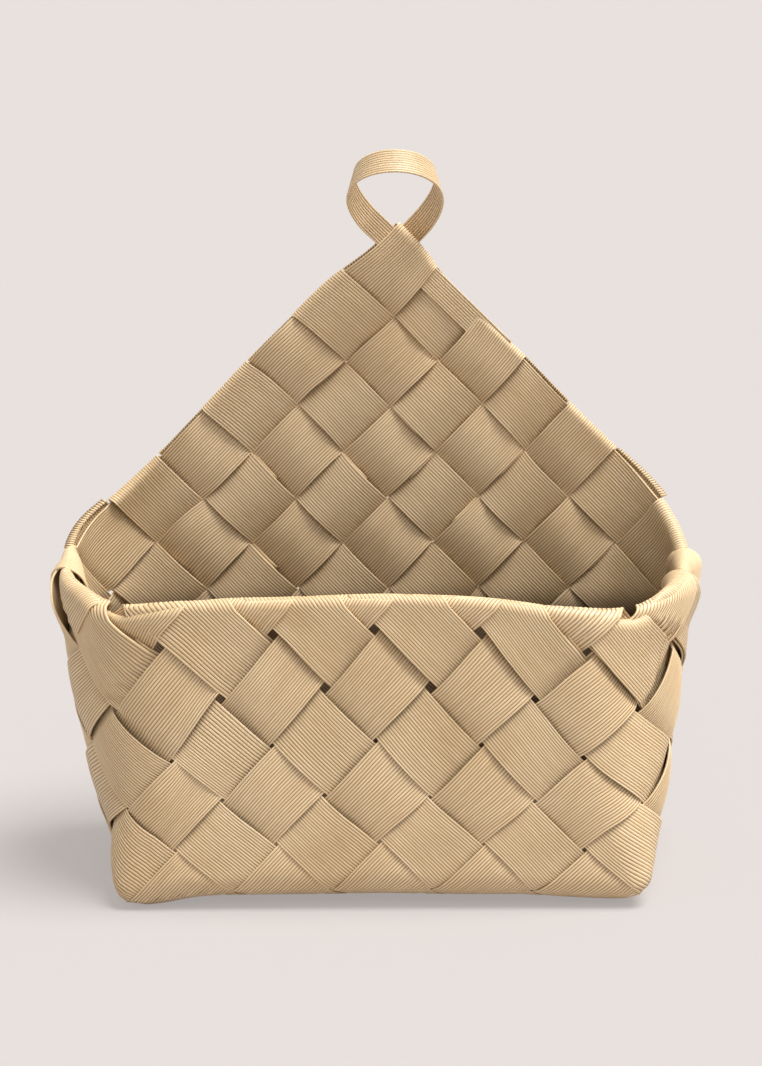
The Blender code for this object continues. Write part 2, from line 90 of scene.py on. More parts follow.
# Spots of the weave and where the photograph shows them, as read off it: u, v, and the pixel
TOP_SPOTS = [
    (0.5, 2.5, 163, 640), (1.5, 2.5, 272, 633), (2.5, 2.5, 372, 630), (3.5, 2.5, 479, 632),
    (4.5, 2.5, 588, 650),
]
OTHER_SPOTS = [
    (1.0, 2.0, 223, 692), (2.0, 2.0, 325, 686), (3.0, 2.0, 430, 688), (4.0, 2.0, 534, 697),
    (0.5, 1.5, 175, 757), (1.5, 1.5, 273, 743), (2.5, 1.5, 376, 738), (3.5, 1.5, 479, 743),
    (4.5, 1.5, 582, 758), (0.0, 1.0, 129, 810), (1.0, 1.0, 224, 798), (2.0, 1.0, 325, 795),
    (3.0, 1.0, 430, 797), (4.0, 1.0, 535, 803), (0.5, 0.5, 175, 850), (1.5, 0.5, 278, 842),
    (2.5, 0.5, 380, 840), (3.5, 0.5, 484, 843), (4.5, 0.5, 583, 850), (0.0, 0.0, 125, 903),
    (5.0, 0.0, 640, 895), (1.0, 0.0, 230, 890), (10.5, 5.5, 396, 317), (11.0, 5.0, 346.6, 361.5),
    (10.0, 5.0, 439, 361), (11.5, 4.5, 299, 403), (10.5, 4.5, 391, 407), (9.5, 4.5, 483, 403),
    (10.0, 4.0, 435, 452), (10.5, 6.5, 400, 225),
]

# The front's top spots are set this much higher than the photograph shows them
TOP_SPOTS_RISE = 1.0 * MM

# Pulls at other places, chosen one by one: u, v, and millimetres to the right and up
SIDE_PULLS = [
    (0.0, 2.0, -3.0, 1.0), (0.0, 3.0, -4.8, 2.0), (1.0, 3.0, -1.0, 4.5), (2.0, 3.0, 0.0, 4.0),
    (3.0, 3.0, 0.0, 3.0), (4.0, 3.0, 0.0, 0.5), (5.0, 3.0, 0.0, -3.0), (5.0, 1.0, 2.0, -3.0),
    (5.0, 2.0, 0.0, -3.0), (6.0, 0.5, 0.0, 0.0), (6.0, 2.0, 0.0, -2.0), (6.0, 3.0, 0.0, -5.0),
    (7.0, 3.0, 0.0, -4.0), (8.0, 3.0, 0.0, -2.0), (8.0, 1.5, 0.0, 0.0), (12.0, 2.5, -1.0, 1.0),
    (12.0, 1.0, -1.0, 0.0), (13.0, 0.0, -4.0, 0.0), (13.0, 1.0, -4.0, 0.5), (13.0, 2.0, -4.0, 1.0),
    (13.0, 3.0, -4.0, 2.0), (14.0, 0.0, -9.0, 0.0), (14.0, 1.0, -9.5, 1.0), (14.0, 2.0, -9.5, 2.0),
    (14.0, 3.0, -9.7, 3.0), (15.0, 0.0, -9.0, -1.0), (15.0, 1.0, -9.5, 0.5), (15.0, 2.0, -9.8, 1.5),
    (15.0, 3.0, -9.7, 2.0),
]
PULL_REACH_COUNT = 0.42
PULL_EASE = 0.12

# Bands and their ribs
BAND_WIDTH = 33.2 * MM
HALF = BAND_WIDTH / PITCH / 2
BAND_THICKNESS = 1.15 * MM
RIB_COUNT = 24
RIB_DEPTH = 0.36 * MM
RIB_PHASES = (0.0, 0.22, 0.5, 0.78)
RIB_CUT = RIB_PHASES[1]
LEAST_LENGTH = 1e-12

# Rows of points along a band, in pitches
ROW_STEP = 0.1
FOLD_ROW_STEP = 0.021
FOLD_ROWS = 12
SLANT_COUNT = 1.2

# Ranks in a crossing, from the inside of the basket to the outside
LAYER = 1.3 * MM
RUN_UNDER = 0
TUCKED_TAIL = 1
OUTWARD_RANK = 1.8
RUN_OVER = 2
OPEN_TAIL = 3
INNER_FOLD = 3.2
OUTER_FOLD = 3.5

# Bows and laps of a band between its crossings
FRONT_BOW = 1.5 * MM
BACK_BOW = 3.0 * MM
BACK_BOW_COUNT = 3.0
BOW_EASE_COUNT = 0.8
FLOOR_BOW_SHARE = 0.05
END_BOW_SHARE = 0.55
LEVEL_BOW_SHARE = 0.35
LAP_SHARE = 0.05
LEVEL_LAP_SHARE = 0.4

# Folds on the sloping edges of the back
FOLD_RADIUS = 3.6 * MM
FOLD_LEAN = 1.2 * MM
FOLD_BEYOND = 1.0 * MM
FOLD_EASE = 9.0 * MM
TAIL_END_SHARE = 0.05

# Folds on the rim: its lift over the last crossings, and the roll of each end
SIDE_RIM_LIFT = 2.5 * MM
FRONT_RIM_LIFT = -9.0 * MM
RIM_LIFT_COUNTS = (1.9, 3.1)
HOME_REACH = 11.0 * MM
WRAP_LIFT = 1.6 * MM
UNDER_WRAP_LIFT = 0.5 * MM
LEAST_RADIUS = 0.8 * MM
RIM_RADIUS = 3.8 * MM
SIDE_ROLL_RADIUS = 5.5 * MM
SIDE_ROLLS = (6.3, 15.0)
SIDE_ROLL_REACH_COUNT = 0.9
OUTER_ROLL = (0.3, 2.4)
INNER_ROLL = (-0.65, 2.2)
ROLL_TILT_COUNT = 0.7
ROLL_SPREAD = 1.2
ROLL_FROM_COUNT = 1.2
NEAR_RIM_COUNT = 1.5
RIM_FLAT_COUNT = 0.35

# Where strips lie off their lanes: rising "/" 1 or falling "\\" -1, u, v, and millimetres to the right
SLIP_SPOTS = [
    (-1, 0.25, 2.25, -4.5), (-1, 0.9, 1.6, -2.2), (1, 0.75, 2.25, 1.6),
    (1, 1.75, 2.25, 1.0), (-1, 3.0, 2.5, 1.2), (1, 3.8, 2.2, 1.5),
    (1, 4.75, 2.25, 1.8), (-1, 4.6, 2.1, -1.8), (-1, 2.2, 1.8, -0.8),
]
SLIP_REACH_ALONG = 0.9
SLIP_REACH_ACROSS = 0.3
SLIP_WANDER = 0.55 * MM
TAIL_WANDER = 1.3 * MM
TAIL_EASE_COUNT = 0.6
WANDER_VALUES = 60
SEED_PER_CROSSING = 7
SEED_PER_BAND = 11

# Gaps between the bands: open near the front's rim, shut in the back
TOP_GAP_SHARE = 0.085
TOP_GAP_COUNT = 1.3
FRONT_GAP_COUNT = 3.6
BACK_GAP_SHARE = -0.045
BACK_GAP_COUNT = 3.2

# The hanging loop
LOOP_BAND_WIDTH = 14.0 * MM
LOOP_RIB_COUNT = 10
LOOP_REACH = 81.0 * MM
LOOP_WIDEN = 1.06
LOOP_ROW_STEP = 2.0 * MM
LOOP_CROSS_ANGLE = math.radians(45.0)
LOOP_SIDE_SHARE = 0.25
LOOP_EASE = 14.0 * MM
LOOP_RIGHT_RANKS = (1.0, -1.0, 1.0)
LOOP_LEFT_RANKS = (4.0, 3.1, 1.5)

# Paper cord
CORD_LIGHT = (0.87, 0.675, 0.43, 1.0)
CORD_DARK = (0.66, 0.465, 0.25, 1.0)
# Painted shade: a dark colour laid in the grooves between the ribs, where shade falls
GROOVE_PAINTED_SHADE = (0.25, 0.14, 0.055, 1.0)
GROOVE_PHASES = (0.28, 0.47)
STREAKS_PER_METRE = 60.0
STREAK_LEVELS = (0.3, 0.7)
CLOUD_LEVELS = (0.35, 0.65)
GRAIN_LEVELS = (0.3, 0.7)
STREAK_SHARE = 0.6
CLOUD_SHARE = 0.4
CORD_ROUGHNESS = (0.40, 0.55)
CORD_SHINE = 0.5
GRAIN_BUMP_SHARE = 0.4
BUMP_STRENGTH = 0.35
BUMP_HEIGHT = 0.3 * MM
# Painted shade: the inner faces low in the basket darken towards near black, where shade falls in the
# hollow
DEEP_PAINTED_SHADE = (0.05, 0.022, 0.008, 1.0)
DEEP_SHADE_SHARE = 0.85
DEEP_SHADE_LEVELS = (2.15, 2.6)
HOLLOW_HEIGHT = 110.0 * MM

# The cord's three noises: scale, detail, and the share of the finer layers
STREAKS = (1.0, 3.0, 0.6)
CLOUDS = (22.0, 2.0, 0.5)
GRAIN = (900.0, 2.0, 0.6)

# Stage
BACKGROUND = (0.807, 0.753, 0.730)
WORLD_LIGHT = 0.46
WORLD_COLOUR = (1.0, 0.985, 0.965)
SUN_LIGHT = 4.5
SUN_COLOUR = (1.0, 0.985, 0.955)
SUN_TURN = math.radians(74.0)
SUN_HEIGHT = math.radians(67.0)
SUN_ANGLE = math.radians(36.0)
FILL_LIGHT = 0.3
FILL_TURN = math.radians(6.0)
FILL_HEIGHT = math.radians(32.0)
FILL_ANGLE = math.radians(40.0)
FLOOR_REACH = 30.0
FLOOR_GLOW_SHARE = 0.45


def clip01(value):
    """The value held between 0 and 1."""
    return np.clip(value, 0.0, 1.0)


def smooth_step(value):
    """3 t^2 - 2 t^3, with t held between 0 and 1."""
    value = clip01(value)
    return value * value * (3 - 2 * value)


def round_gap(u, spot):
    """Way from a spot to u round the walls, the shorter one, in periods."""
    return (u - spot + GIRTH / 2) % GIRTH - GIRTH / 2


# Skin of the basket, as in the CAD

def bottom_bend(distance):
    """Reach outward and height of the skin, at a distance from the floor's edge, outside positive.

    It is level, then a quarter circle r sin(a), r (1 - cos(a)), then upright.
    """
    radius = BOTTOM_RADIUS / PERIOD
    half = radius * math.pi / 4
    angle = np.clip((distance + half) / radius, 0.0, math.pi / 2)
    beyond = np.maximum(distance - half, 0.0)
    inside = np.minimum(distance + half, 0.0)
    return inside - half + radius * np.sin(angle), radius * (1 - np.cos(angle)) + beyond


def section(around, share):
    """Half a level section of the walls: straight, arc, straight, arc, straight.

    The side leans by the flare, and each arc takes twice its corner's reach, so a length is kept.
    """
    flare = SIDE_FLARE * share
    first = np.maximum(FRONT_CORNER_REACH / PERIOD * share, TINY)
    second = np.maximum(BACK_CORNER_REACH / PERIOD * share, TINY)
    turn_a = math.pi / 2 - flare
    turn_b = math.pi / 2 + flare
    radius_a = 2 * first / turn_a
    radius_b = 2 * second / turn_b
    corner_a = FRONT_COUNT / 2 + CORNER_SHIFT / PERIOD * share
    lean, cross = np.sin(flare), np.cos(flare)
    corner_b = (GIRTH / 2 - corner_a + first - radius_a * cross + radius_b * cross - second
                + lean * (corner_a + first + second)) / (1 + lean)
    front = np.clip(around, 0.0, corner_a - first)
    angle_a = turn_a * clip01((around - corner_a + first) / (2 * first))
    side = np.clip(around - corner_a - first, 0.0, corner_b - second - corner_a - first)
    angle_b = turn_b * clip01((around - corner_b + second) / (2 * second))
    back = np.maximum(around - corner_b - second, 0.0)
    heading = angle_a + angle_b
    x = front + radius_a * np.sin(angle_a) + side * lean - back
    x = x + radius_b * (np.sin(turn_a + angle_b) - cross)
    y = radius_a * (1 - np.cos(angle_a)) + side * cross
    y = y + radius_b * (np.cos(turn_a) - np.cos(turn_a + angle_b))
    depth = (radius_a * (1 - np.cos(turn_a)) + (corner_b - second - corner_a - first) * cross
             + radius_b * (np.cos(turn_a) + 1))
    return x, y - depth, heading, corner_a


def plain_wall(u, v):
    """Even skin of the walls: u periods round from the front left corner and v periods up.

    A level section, stretched towards the rim and pushed out by the bottom's bend and by the belly
    sin(pi t) of the front. Its height drops at each front corner by exp(-(gap / reach)^2).
    """
    sideways = round_gap(u, FRONT_MIDDLE)
    around = np.abs(sideways)
    level = clip01(v / WALL_COUNT)
    x, y, heading, corner = section(around, 1 - (1 - level) ** FLARE_EASE)
    stretch = 1 + RIM_STRETCH_SHARE * level
    reach, height = bottom_bend(v)
    facing_front = clip01(np.cos(heading / 2)) ** 2
    reach = reach + FRONT_BELLY / PERIOD * np.sin(math.pi * level) * facing_front
    x = x * stretch + reach * np.sin(heading)
    y = SIDE_COUNT + y * stretch - reach * np.cos(heading)
    drop = CORNER_DROP / PERIOD * np.sin(math.pi / 2 * level)
    height = height * stretch - drop * np.exp(-((around - corner) / (CORNER_DROP_REACH / PERIOD)) ** 2)
    return np.stack([x * np.where(sideways < 0, -1.0, 1.0), y, height], axis=-1) * PERIOD


def camera_ways():
    """Unit ways to the right, up and forward of the camera, from its yaw, pitch and roll."""
    across, deep = math.sin(CAMERA_YAW), math.cos(CAMERA_YAW)
    level = np.array([deep, across, 0.0])
    flat, down = math.cos(CAMERA_PITCH), math.sin(CAMERA_PITCH)
    forward = np.array([-across * flat, deep * flat, -down])
    upright = np.cross(level, forward)
    right = math.cos(CAMERA_ROLL) * level + math.sin(CAMERA_ROLL) * upright
    up = -math.sin(CAMERA_ROLL) * level + math.cos(CAMERA_ROLL) * upright
    return right, up, forward


def photo_pulls(spots, rise):
    """Pulls to the right and up, in millimetres, that bring spots of the even skin to their pixels.

    A pull is the gap between the pixels times the depth, divided by the focal length in pixels. The
    rise is added to the pull up.
    """
    u, v, pixel_x, pixel_y = np.array(spots).T
    right, up, forward = camera_ways()
    gap = plain_wall(u, v) - (CAMERA_PLACE - SHIFT)
    depth = gap @ forward
    seen_x = IMAGE_WIDTH / 2 + FOCAL_PIXELS * (gap @ right) / depth
    seen_y = IMAGE_HEIGHT / 2 - FOCAL_PIXELS * (gap @ up) / depth
    size = depth / FOCAL_PIXELS / MM
    return np.stack([u, v, (pixel_x - seen_x) * size, (seen_y - pixel_y) * size + rise / MM], axis=-1)


PULLS = np.concatenate([photo_pulls(TOP_SPOTS, TOP_SPOTS_RISE), photo_pulls(OTHER_SPOTS, 0.0), SIDE_PULLS])


def uneven(u, v):
    """Small uneven pulls: the mean of all pulls, weighed by exp(-(distance / reach)^2)."""
    near = np.exp(-(round_gap(u[..., None], PULLS[:, 0]) ** 2
                    + (v[..., None] - PULLS[:, 1]) ** 2) / PULL_REACH_COUNT ** 2)
    share = near / (near.sum(axis=-1, keepdims=True) + PULL_EASE)
    right, up = share @ PULLS[:, 2] * MM, share @ PULLS[:, 3] * MM
    return np.stack([right, 0 * right, up], axis=-1)


def wall(u, v):
    """Skin of the walls: the even skin and its pulls."""
    return plain_wall(u, v) + uneven(u, v)


def floor(x, y):
    """Skin of the floor: x periods from its left edge and y periods from its front edge.

    Its height is sqrt(a^2 + b^2 - (a b / c)^2), where a and b are the bends of the two nearest edges
    and c is their height on the edge, so both bends are met on their own edges.
    """
    inset, edge_height = bottom_bend(0.0)
    rise_x = bottom_bend(-np.minimum(x, FRONT_COUNT - x))[1]
    rise_y = bottom_bend(-np.minimum(y, SIDE_COUNT - y))[1]
    height = np.sqrt(np.maximum(rise_x ** 2 + rise_y ** 2 - (rise_x * rise_y / edge_height) ** 2, 0.0))
    wide = (x - FRONT_COUNT / 2) * (1 + 2 * inset / FRONT_COUNT)
    deep = SIDE_COUNT / 2 + (y - SIDE_COUNT / 2) * (1 + 2 * inset / SIDE_COUNT)
    over_u, over_v = floor_to_wall(x, y)
    fade = smooth_step(1 + over_v)[..., None]
    return np.stack([wide, deep, height], axis=-1) * PERIOD + uneven(over_u, np.minimum(over_v, 0.0)) * fade


def floor_to_wall(x, y):
    """Wall coordinates of a floor point at or past the nearest edge."""
    gaps = np.stack([y, FRONT_COUNT - x, SIDE_COUNT - y, x], axis=-1)
    nearest = np.argmin(gaps, axis=-1)
    u = np.choose(nearest, [x, FRONT_COUNT + y, 2 * FRONT_COUNT + SIDE_COUNT - x, GIRTH - y])
    return u, -np.min(gaps, axis=-1)


def wall_to_floor(u, v):
    """Floor coordinates of a wall point at or below the floor's edge."""
    u = u % GIRTH
    corner_b, corner_c = FRONT_COUNT + SIDE_COUNT, 2 * FRONT_COUNT + SIDE_COUNT
    side = (u >= FRONT_COUNT) * 1 + (u >= corner_b) * 1 + (u >= corner_c) * 1
    x = np.choose(side, [u, FRONT_COUNT + v, corner_c - u, -v])
    y = np.choose(side, [-v, u - FRONT_COUNT, SIDE_COUNT + v, GIRTH - u])
    return x, y


def place(on_wall, first, second):
    """Point of the skin at wall or floor coordinates, either of which may run past the floor's edge."""
    over_u, over_v = floor_to_wall(first, second)
    under_x, under_y = wall_to_floor(first, second)
    u, v = np.where(on_wall, first, over_u), np.where(on_wall, second, over_v)
    x, y = np.where(on_wall, under_x, first), np.where(on_wall, under_y, second)
    return np.where(v[..., None] < 0, floor(x, y), wall(u, np.maximum(v, 0.0)))


def outward_way(on_wall, first, second):
    """Unit way outward from the skin: the cross product of its two differences over a short step."""
    step = WAY_STEP_COUNT
    one = place(on_wall, first + step, second) - place(on_wall, first - step, second)
    two = place(on_wall, first, second + step) - place(on_wall, first, second - step)
    way = np.cross(one, two) * np.where(on_wall, 1.0, -1.0)[..., None]
    return way / np.linalg.norm(way, axis=-1, keepdims=True)


# Lanes of the flat drawing and the layers in each crossing, as in the CAD

class Lane:
    """A straight way across the floor and up two walls, counted in pitches along and across it."""

    def __init__(self, rising, offset):
        self.rising, self.offset = rising, offset

    def flat(self, along, across):
        """Place on the flat drawing, where the lane runs at 45 degrees to the floor's edges."""
        lean = 1 if self.rising else -1
        x = along / 2 + across / 2
        y = lean * along / 2 - lean * across / 2 + (-self.offset if self.rising else self.offset)
        return x, y

    def side(self, along):
        """Which wall the lane's middle lies nearest to or on, and whether it has left the floor."""
        x, y = self.flat(along, 0 * along)
        exits = np.stack([-y, x - FRONT_COUNT, y - SIDE_COUNT, -x])
        return np.argmax(exits, axis=0), np.max(exits, axis=0) >= -TINY

    def spot(self, along, across, row_along):
        """On a wall or not, and the coordinates there. The chart is the one of the row's middle."""
        x, y = self.flat(along, across)
        side, on_wall = self.side(row_along)
        u = np.choose(side, [x, FRONT_COUNT + y, 2 * FRONT_COUNT + SIDE_COUNT - x, GIRTH - y])
        v = np.choose(side, [-y, x - FRONT_COUNT, y - SIDE_COUNT, -x])
        return on_wall, np.where(on_wall, u, x), np.where(on_wall, v, y)

    def middle(self, step):
        """The middle of one crossing: on a wall or not, and its two coordinates."""
        one = np.array([float(step)])
        on_wall, first, second = self.spot(one, 0 * one, one)
        return bool(on_wall[0]), float(first[0]), float(second[0])

    def over(self, step):
        """Whether the band lies outside the one that it crosses."""
        return step % 2 == (0 if self.rising else 1)

    def key(self, step):
        """Name of one crossing."""
        return cell_key(*self.middle(step))


def cell_key(on_wall, first, second):
    """Name of a crossing: its surface, and its coordinates in half periods."""
    if on_wall:
        return "wall", round(2 * first) % (2 * GIRTH), round(2 * second)
    return "floor", round(2 * first), round(2 * second)


def peak_room(u, v):
    """How far a wall place lies below the sloping edges of the back, in periods."""
    return PEAK_HALF_COUNT - abs(round_gap(u, BACK_MIDDLE)) - (v - WALL_COUNT)


def inside(lane, step):
    """Whether a crossing belongs to the basket."""
    on_wall, u, v = lane.middle(step)
    return not on_wall or v <= WALL_COUNT + TINY or peak_room(u, v) > 0


def at_rim(lane, step):
    """Whether a crossing lies on the level rim."""
    on_wall, u, v = lane.middle(step)
    return on_wall and abs(v - WALL_COUNT) < TINY and peak_room(u, v) < 0


def ends_of(lane):
    """First and last crossing of a lane, found outward from the middle of its run on the floor."""
    if lane.rising:
        left, right = max(0.0, lane.offset), min(FRONT_COUNT, SIDE_COUNT + lane.offset)
    else:
        left, right = max(0.0, lane.offset - SIDE_COUNT), min(FRONT_COUNT, lane.offset)
    low = high = round(left + right)
    while inside(lane, low - 1) and not at_rim(lane, low):
        low -= 1
    while inside(lane, high + 1) and not at_rim(lane, high):
        high += 1
    return low, high


def rim_lean(lane, end, way):
    """Way along the rim by which a lane moves over its last crossing, in periods."""
    return round_gap(lane.middle(end)[1], lane.middle(end - way)[1])


def tail_length(lane, end, way):
    """Crossings that a tail covers past its fold, the last one only to its middle."""
    if not at_rim(lane, end):
        return 1 if lane.over(end) else 2
    return 2 if rim_lean(lane, end, way) > 0 else 1


def tail_key(lane, end, way, count):
    """Crossing that a tail lies in, counted from its fold."""
    if not at_rim(lane, end):
        return lane.key(end - way * count)
    return cell_key(True, lane.middle(end)[1] + rim_lean(lane, end, way) * count, WALL_COUNT - count / 2)


class Layers:
    """Who lies in each crossing, from the inside of the basket to the outside."""

    def __init__(self):
        self.cells = {}

    def add(self, key, who, rank):
        """Put a band's run, tail or leg into a crossing, at its rank."""
        self.cells.setdefault(key, []).append((rank, who))

    def height(self, key, who):
        """Distance outward from the skin, and the way it bows: 1 outward over a crossing, else -1."""
        order = sorted(self.cells[key])
        mine = [name for _, name in order].index(who)
        return (mine - (len(order) - 1) / 2) * LAYER, 1.0 if order[mine][0] > OUTWARD_RANK else -1.0


def fill_layers(lanes):
    """Every band's run and its two tails, each with its rank in each of its crossings."""
    layers = Layers()
    for name, lane in lanes.items():
        low, high = ends_of(lane)
        for step in range(low, high + 1):
            layers.add(lane.key(step), (name, "run", 0), RUN_OVER if lane.over(step) else RUN_UNDER)
        for end, way in ((low, -1), (high, 1)):
            who = name, "tail", way
            outermost = lane.over(end) != at_rim(lane, end)
            layers.add(lane.key(end), who, OUTER_FOLD if outermost else INNER_FOLD)
            length = tail_length(lane, end, way)
            for count in range(1, length + 1):
                rank = TUCKED_TAIL if count == length else OPEN_TAIL
                layers.add(tail_key(lane, end, way, count), who, rank)
    return layers


# Small slips, widths and the rim's lift

def slip(rise, u, v):
    """How far a strip lies off its lane, to the right: a sum of oval bells, long along the strip."""
    total = np.zeros(u.shape)
    for spot_rise, spot_u, spot_v, right in SLIP_SPOTS:
        gap_u, gap_v = round_gap(u, spot_u), v - spot_v
        ahead, beside = (gap_u + spot_rise * gap_v) / 2, (gap_u - spot_rise * gap_v) / 2
        bell = np.exp(-(ahead / SLIP_REACH_ALONG) ** 2 - (beside / SLIP_REACH_ACROSS) ** 2)
        total = total + np.where(rise == spot_rise, right * MM * bell, 0.0)
    return total


def width_share(on_wall, u, v):
    """Share of its width that a band shows: less near the front's rim, and more in the back."""
    behind = smooth_step(BACK_GAP_COUNT - np.abs(round_gap(u, BACK_MIDDLE)))
    before = smooth_step(FRONT_GAP_COUNT - np.abs(round_gap(u, FRONT_MIDDLE)))
    gap = TOP_GAP_SHARE * before * smooth_step(v - TOP_GAP_COUNT) + BACK_GAP_SHARE * behind
    return 1 - np.where(on_wall, gap, 0.0)


def wander(name):
    """Slips of a band at its crossings, small and uneven, from a number drawn for each."""
    seed = [ord(letter) for letter in name[:3] + name[-1] + "run"]
    return np.random.default_rng(seed).uniform(-1.0, 1.0, WANDER_VALUES)


def wandered(values, along):
    """Smooth course through one value for each crossing; crossing 0 takes the one midway in the list."""
    low = np.floor(along).astype(int)
    share = smooth_step(along - low)
    number = low + WANDER_VALUES // 2
    return values[number] * (1 - share) + values[number + 1] * share


def rim_lift(u):
    """Height of the rim over the middle of the last crossings: below it in front, above at the sides."""
    aside = np.abs(round_gap(u, FRONT_MIDDLE))
    share = smooth_step((RIM_LIFT_COUNTS[1] - aside) / (RIM_LIFT_COUNTS[1] - RIM_LIFT_COUNTS[0]))
    return SIDE_RIM_LIFT + (FRONT_RIM_LIFT - SIDE_RIM_LIFT) * share


# One band's surface

def lane_height(table, along, bow):
    """Height over the crossings of a table {step: (height, side)}, bowed and lapped between them.

    In a crossing it is height + side * bow * cos(pi t), with t in pitches from the middle, and the
    next crossing's height takes over within a short share of a pitch, or a long one where both lie
    on the same face. Past the table's last crossing the bow goes on slower, so the fold stays open.
    """
    steps = sorted(table)
    low = np.clip(np.floor(along).astype(int), steps[0], steps[-1])
    high = np.clip(low + 1, steps[0], steps[-1])
    heights = np.array([table[step][0] for step in steps])
    sides = np.array([table[step][1] for step in steps])
    same_face = np.concatenate([[0.0], sides[:-1] * sides[1:], [0.0]])

    def cell(step):
        off = np.clip(along - step, -0.5, 0.5)
        number = step - steps[0]
        beside = np.where(off > 0, same_face[number + 1], same_face[number])
        slower = np.where(beside > 0, LEVEL_BOW_SHARE, np.where(beside < 0, 1.0, END_BOW_SHARE))
        return heights[number] + sides[number] * bow * np.cos(math.pi * off * slower)

    level = same_face[np.clip(low + 1 - steps[0], 0, len(steps))] > 0
    lap = np.where(level, LEVEL_LAP_SHARE, LAP_SHARE)
    share = smooth_step((along - low - 0.5) / (2 * lap) + 0.5)
    return cell(low) * (1 - share) + cell(high) * share


def rows_along(low, high, folds):
    """Row places from low to high, evenly, with close rows at each fold."""
    rows = list(np.arange(low, high + ROW_STEP / 2, ROW_STEP))
    for fold in folds:
        near = FOLD_ROWS * FOLD_ROW_STEP + ROW_STEP / 3
        rows = [row for row in rows if abs(row - fold) > near]
        rows += list(fold + FOLD_ROW_STEP * np.arange(-FOLD_ROWS, FOLD_ROWS + 1))
    return np.array(sorted(rows))


class Tail:
    """One end of a band: where it folds, and the crossings that it lies on past the fold."""

    def __init__(self, name, lane, layers, end, way):
        self.end, self.way, self.rim = end, way, at_rim(lane, end)
        self.wraps = not lane.over(end)
        self.centre = lane.middle(end)[1]
        count = tail_length(lane, end, way)
        keys = [lane.key(end)] + [tail_key(lane, end, way, number) for number in range(1, count + 1)]
        back = way if self.rim else -way
        who = name, "tail", way
        self.heights = {end + back * number: layers.height(key, who) for number, key in enumerate(keys)}
        if self.rim:
            height, side = self.heights[end]
            self.heights[end] = height + (WRAP_LIFT if self.wraps else UNDER_WRAP_LIFT), side
            lift = rim_lift(self.centre) / PERIOD
            self.fold, self.stop = end + way * 2 * lift, end + way * (4 * lift + count)
        else:
            past = 0.5 + FOLD_BEYOND / PITCH
            self.fold, self.stop = end + way * past, end + way * (2 * past + TAIL_END_SHARE + count)
        seed = int(abs(end) * SEED_PER_CROSSING + ord(name[0]) + SEED_PER_BAND * int(name[-1]))
        self.slip = np.random.default_rng(seed).uniform(-1, 1)

    def radius(self, u):
        """Radius of the fold: on the rim it grows to the right, so that each fold tucks under the next.

        There it is the rim's radius, larger at the loose rolls by exp(-(gap / reach)^2), and a tilt.
        """
        if not self.rim:
            return FOLD_RADIUS + 0 * u
        aside = np.clip(round_gap(u, self.centre), -ROLL_TILT_COUNT, ROLL_TILT_COUNT)
        steps = OUTER_ROLL if self.wraps else INNER_ROLL
        beside = np.minimum(*[np.abs(round_gap(u, spot)) for spot in SIDE_ROLLS])
        loose = np.exp(-(beside / SIDE_ROLL_REACH_COUNT) ** 2)
        tilt = steps[0] + steps[1] * aside * (1 + ROLL_SPREAD * loose)
        return RIM_RADIUS + (SIDE_ROLL_RADIUS - RIM_RADIUS) * loose + tilt * LAYER


def rolled(past, radius, inner, outer, middle):
    """Way back from a fold's edge, and height: a half circle that closes to the heights beside it.

    Over the half circle the way back is r (cos(a) - 1) and the height r sin(a), with a = pi/2 * past / r.
    """
    angle = np.clip(past / radius, -1.0, 1.0) * math.pi / 2
    away = np.maximum(np.abs(past) - radius, 0.0)
    open_share = 1 - smooth_step(away / (FOLD_EASE + 2 * radius))
    height = np.where(past > 0, outer, inner)
    height = height + (middle + radius * np.sin(angle) - height) * open_share
    return radius * (np.cos(angle) - 1) - away, height


def slant_of(lane, end, across):
    """How far past its end crossing's middle each line of a band meets the rim, in pitches."""
    one = np.full(len(across), float(end))
    return (lane.spot(one, across, one)[2] - WALL_COUNT) * 2


def slanted_rows(lane, tails, rows, across):
    """Coordinate along the band: level rows, turned parallel to the rim near a fold on it."""
    along = rows[:, None] + 0 * across[None, :]
    for tail in tails:
        if tail.rim:
            ease = smooth_step(SLANT_COUNT - np.abs(rows - tail.fold))
            along = along - tail.way * slant_of(lane, tail.end, across)[None, :] * ease[:, None]
    return along


def turned_path(tails, rows, along):
    """Coordinate along the lane, which turns back at a fold on a sloping edge, and its chart's row."""
    path, chart = along.copy(), rows.copy()
    for tail in tails:
        if not tail.rim:
            beyond = (along - tail.fold) * tail.way * PITCH
            back = rolled(beyond, tail.radius(beyond), 0.0, 0.0, 0.0)[0]
            path = np.where(beyond > -FOLD_RADIUS, tail.fold + tail.way * back / PITCH, path)
            turned = (rows - tail.fold) * tail.way * PITCH > -FOLD_RADIUS
            chart = np.where(turned, np.minimum(rows * tail.way, tail.end * tail.way) * tail.way, chart)
    return path, chart[:, None] + 0 * path


def places_across(name, lane, tails, along, path, chart, across):
    """Places across the lane: the rib's place times the band's width share, plus its small slips."""
    sideways = across[None, :] + 0 * path
    on_wall, u, v = lane.spot(path, sideways, chart)
    over_rim = on_wall & (v > WALL_COUNT) & (peak_room(u, v) < 0)
    v = np.where(over_rim, 2 * WALL_COUNT - v, v)
    offset = wandered(wander(name), path) * SLIP_WANDER
    for tail in tails:
        gone = smooth_step((along - tail.fold) * tail.way / TAIL_EASE_COUNT)
        offset = offset * (1 - gone) + gone * tail.slip * TAIL_WANDER
    return sideways * width_share(on_wall, u, v) + offset / PITCH


